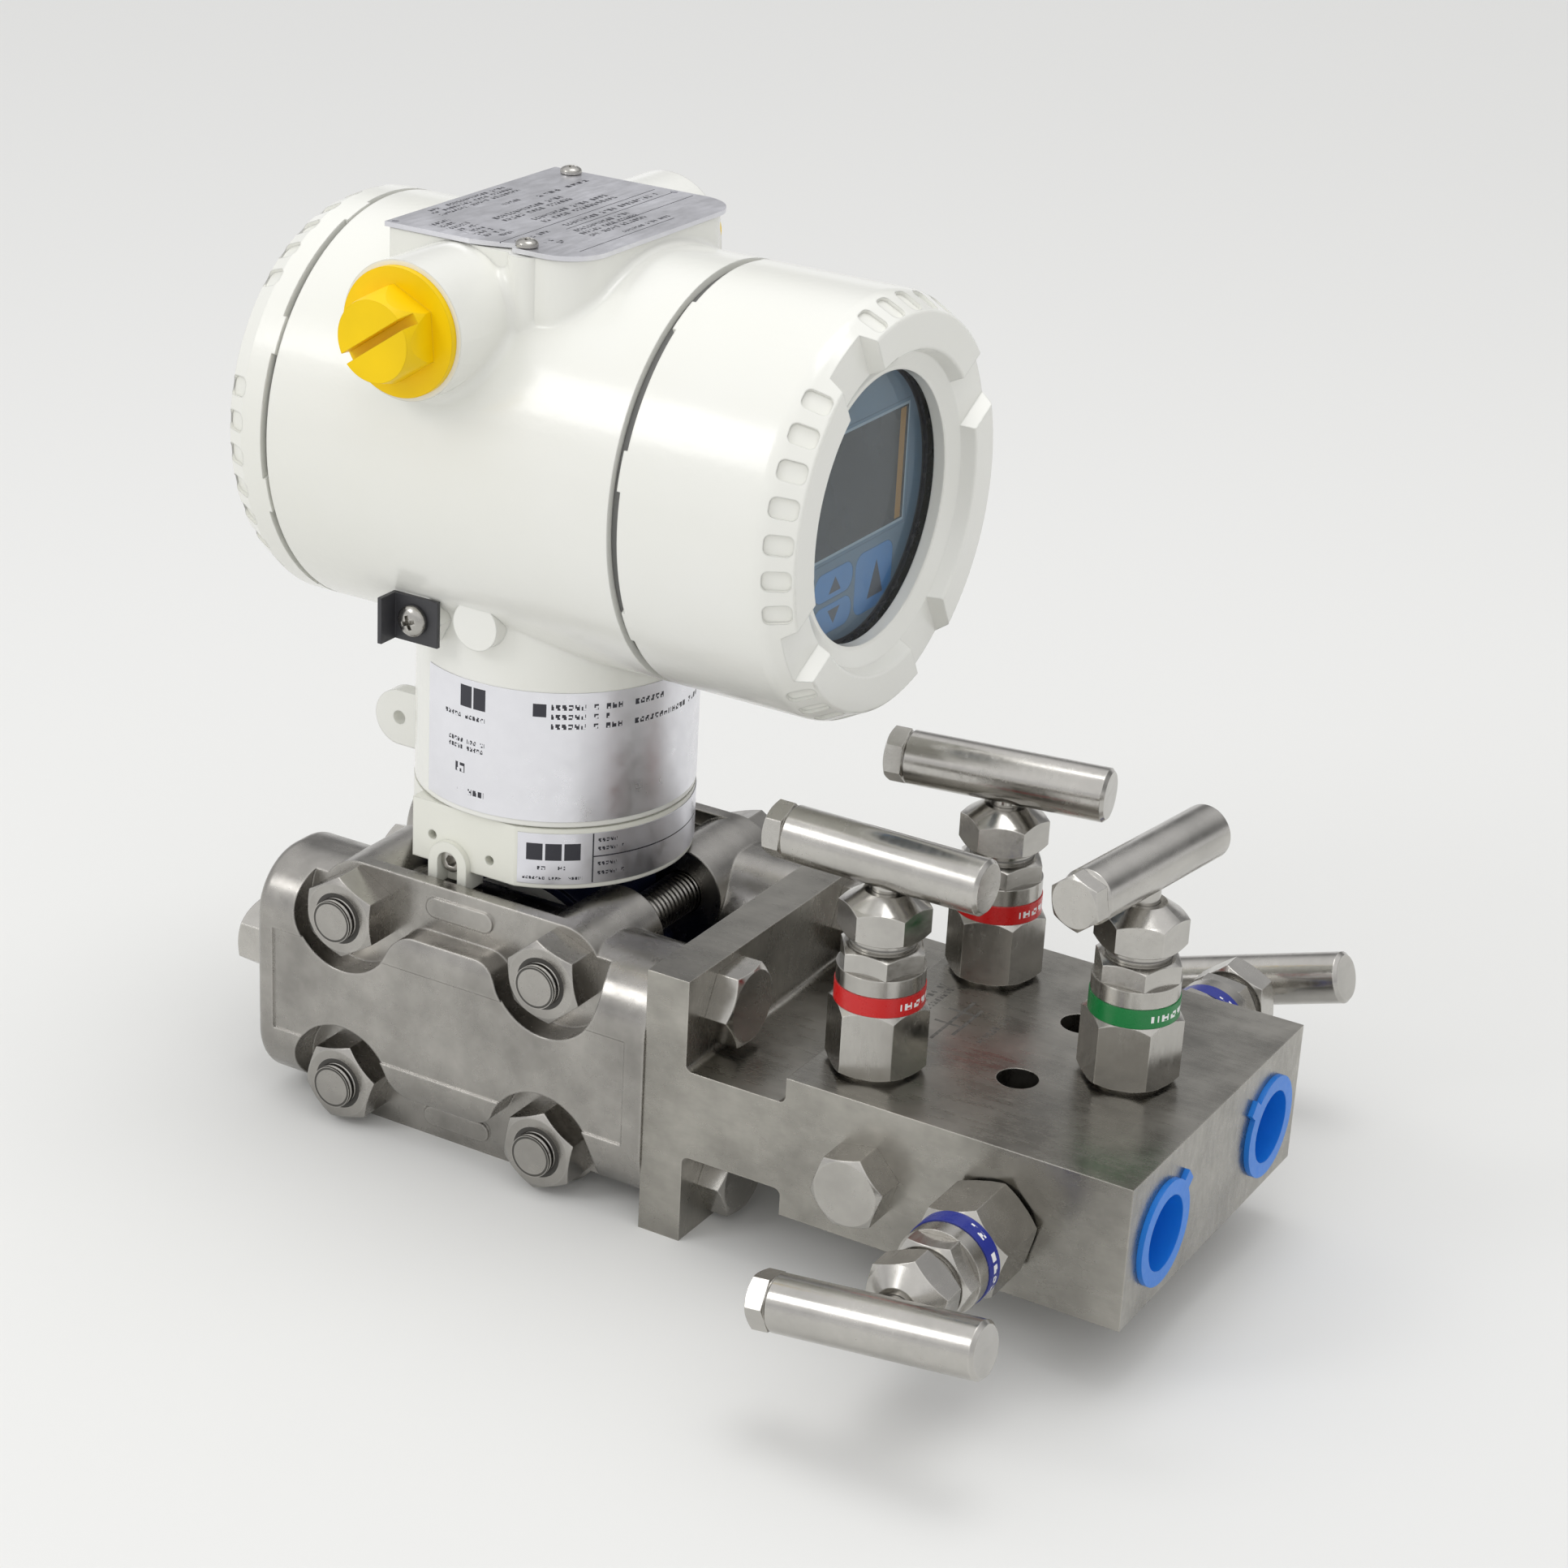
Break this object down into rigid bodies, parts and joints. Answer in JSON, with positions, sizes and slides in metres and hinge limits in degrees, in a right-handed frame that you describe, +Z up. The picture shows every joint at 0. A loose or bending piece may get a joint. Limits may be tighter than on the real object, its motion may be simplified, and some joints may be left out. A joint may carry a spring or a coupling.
{
  "type": "differential pressure transmitter",
  "caption": "Differential pressure transmitter: round housing with window display on a sensor between process flanges, bolted to a valve manifold with T-bar needle valves.",
  "frame": {"origin": "middle of the bottom face of the manifold's flange plate, on the standing surface", "axes": "+X along the manifold from the sensor to the inlet ports, +Y from the high to the low pressure side, +Z up through the housing"},
  "size_m": [0.2322, 0.1942, 0.2087],
  "materials": {
    "manifold_steel": "brushed",
    "valve_steel": "machined",
    "cast_steel": "blasted",
    "bolt_steel": "bright",
    "white_paint": "gloss",
    "cream_paint": "gloss",
    "navy_paint": "satin",
    "yellow_plastic": "gloss",
    "blue_plastic": "satin",
    "red_band": "gloss",
    "green_band": "gloss",
    "blue_band": "gloss",
    "black_rubber": "matte",
    "white_seal": "matte",
    "plate_metal": "anodised",
    "label_foil": "foil",
    "window_glass": "clear",
    "dark_plastic": "matte",
    "screen": "gloss",
    "key_blue": "matte",
    "board_green": "matte",
    "brass": "plated",
    "bracket_grey": "satin"
  },
  "bodies": {
    "base": {"manifold_body": "manifold_steel", "manifold_bolts": "bolt_steel", "test_plugs": "bolt_steel", "port_caps": "blue_plastic", "valve_bonnets": "valve_steel", "stem_packings": "white_seal", "lock_nuts": "valve_steel", "gland_nuts": "valve_steel", "vent_bands": "red_band", "isolate_bands": "blue_band", "equalize_band": "green_band", "high_flange": "cast_steel", "low_flange": "cast_steel", "flange_studs": "bolt_steel", "flange_nuts": "bolt_steel", "drain_plugs": "bolt_steel", "port_seals": "white_seal", "sensor_body": "navy_paint", "diaphragms": "bolt_steel", "flange_seals": "white_seal", "neck_ring": "cream_paint", "ring_set_screw": "bolt_steel", "ring_label": "label_foil"},
    "housing": {"housing_body": "white_paint", "neck_label": "label_foil", "electronics_board": "board_green", "display_module": "dark_plastic", "display_screen": "screen", "display_keys": "key_blue", "terminal_block": "dark_plastic", "terminal_screws": "brass", "nameplate_screws": "bolt_steel", "conduit_plugs": "yellow_plastic", "earth_bracket": "bracket_grey", "earth_screw": "bolt_steel"},
    "front_seal": {"front_cover_seal": "black_rubber"},
    "front_cover": {"front_cover": "white_paint", "window_glass": "window_glass", "window_retainer": "dark_plastic"},
    "rear_seal": {"rear_cover_seal": "black_rubber"},
    "rear_cover": {"rear_cover": "white_paint"},
    "nameplate": {"nameplate": "plate_metal"},
    "zero_button": {"zero_button": "dark_plastic"},
    "span_button": {"span_button": "dark_plastic"},
    "lock_button": {"lock_button": "dark_plastic"},
    "vent_high_tip": {"vent_high_tip": "valve_steel"},
    "vent_high_spindle": {"vent_high_stem": "valve_steel", "vent_high_handle": "valve_steel"},
    "vent_low_tip": {"vent_low_tip": "valve_steel"},
    "vent_low_spindle": {"vent_low_stem": "valve_steel", "vent_low_handle": "valve_steel"},
    "equalize_tip": {"equalize_tip": "valve_steel"},
    "equalize_spindle": {"equalize_stem": "valve_steel", "equalize_handle": "valve_steel"},
    "isolate_high_tip": {"isolate_high_tip": "valve_steel"},
    "isolate_high_spindle": {"isolate_high_stem": "valve_steel", "isolate_high_handle": "valve_steel"},
    "isolate_low_tip": {"isolate_low_tip": "valve_steel"},
    "isolate_low_spindle": {"isolate_low_stem": "valve_steel", "isolate_low_handle": "valve_steel"}
  },
  "joints": [
    {"name": "housing_turn", "type": "hinge", "parent": "base", "child": "housing", "pos_m": [-0.05815, 0, 0.09], "axis": [0, 0, 1], "range_deg": [-180, 180]},
    {"name": "front_cover_advance", "type": "slide", "parent": "housing", "child": "front_seal", "axis": [1, 0, 0], "range_m": [0, 0.012]},
    {"name": "front_cover_turn", "type": "hinge", "parent": "front_seal", "child": "front_cover", "pos_m": [-0.01765, 0, 0.158], "axis": [1, 0, 0], "range_deg": [0, 2880]},
    {"name": "rear_cover_advance", "type": "slide", "parent": "housing", "child": "rear_seal", "axis": [-1, 0, 0], "range_m": [0, 0.012]},
    {"name": "rear_cover_turn", "type": "hinge", "parent": "rear_seal", "child": "rear_cover", "pos_m": [-0.10335, 0, 0.158], "axis": [-1, 0, 0], "range_deg": [0, 2880]},
    {"name": "nameplate_swing", "type": "hinge", "parent": "housing", "child": "nameplate", "pos_m": [-0.07715, 0.0288, 0.2056], "axis": [0, 0, 1], "range_deg": [0, 90]},
    {"name": "zero_press", "type": "slide", "parent": "housing", "child": "zero_button", "axis": [0, 0, -1], "range_m": [0, 0.0015], "stiffness_N_per_m": 300},
    {"name": "span_press", "type": "slide", "parent": "housing", "child": "span_button", "axis": [0, 0, -1], "range_m": [0, 0.0015], "stiffness_N_per_m": 300},
    {"name": "lock_press", "type": "slide", "parent": "housing", "child": "lock_button", "axis": [0, 0, -1], "range_m": [0, 0.0015], "stiffness_N_per_m": 300},
    {"name": "vent_high_lift", "type": "slide", "parent": "base", "child": "vent_high_tip", "axis": [0, 0, 1], "range_m": [0, 0.003]},
    {"name": "vent_high_turn", "type": "hinge", "parent": "vent_high_tip", "child": "vent_high_spindle", "pos_m": [0.04125, -0.027, 0.0475], "axis": [0, 0, 1], "range_deg": [0, 1080]},
    {"name": "vent_low_lift", "type": "slide", "parent": "base", "child": "vent_low_tip", "axis": [0, 0, 1], "range_m": [0, 0.003]},
    {"name": "vent_low_turn", "type": "hinge", "parent": "vent_low_tip", "child": "vent_low_spindle", "pos_m": [0.04125, 0.027, 0.0475], "axis": [0, 0, 1], "range_deg": [0, 1080]},
    {"name": "equalize_lift", "type": "slide", "parent": "base", "child": "equalize_tip", "axis": [0, 0, 1], "range_m": [-0.0018, 0.0012]},
    {"name": "equalize_turn", "type": "hinge", "parent": "equalize_tip", "child": "equalize_spindle", "pos_m": [0.08685, 0, 0.0475], "axis": [0, 0, 1], "range_deg": [-648, 432]},
    {"name": "isolate_high_lift", "type": "slide", "parent": "base", "child": "isolate_high_tip", "axis": [0, -1, 0], "range_m": [-0.0005, 0.0025]},
    {"name": "isolate_high_turn", "type": "hinge", "parent": "isolate_high_tip", "child": "isolate_high_spindle", "pos_m": [0.07905, -0.0435, 0.0302], "axis": [0, -1, 0], "range_deg": [-180, 900]},
    {"name": "isolate_low_lift", "type": "slide", "parent": "base", "child": "isolate_low_tip", "axis": [0, 1, 0], "range_m": [-0.0005, 0.0025]},
    {"name": "isolate_low_turn", "type": "hinge", "parent": "isolate_low_tip", "child": "isolate_low_spindle", "pos_m": [0.07905, 0.0435, 0.0302], "axis": [0, 1, 0], "range_deg": [-180, 900]}
  ],
  "couplings": [
    {"joint": "front_cover_turn", "follows": "front_cover_advance", "rad_per_m": 4188.8},
    {"joint": "rear_cover_turn", "follows": "rear_cover_advance", "rad_per_m": 4188.8},
    {"joint": "vent_high_turn", "follows": "vent_high_lift", "rad_per_m": 6283.2},
    {"joint": "vent_low_turn", "follows": "vent_low_lift", "rad_per_m": 6283.2},
    {"joint": "equalize_turn", "follows": "equalize_lift", "rad_per_m": 6283.2},
    {"joint": "isolate_high_turn", "follows": "isolate_high_lift", "rad_per_m": 6283.2},
    {"joint": "isolate_low_turn", "follows": "isolate_low_lift", "rad_per_m": 6283.2}
  ]
}
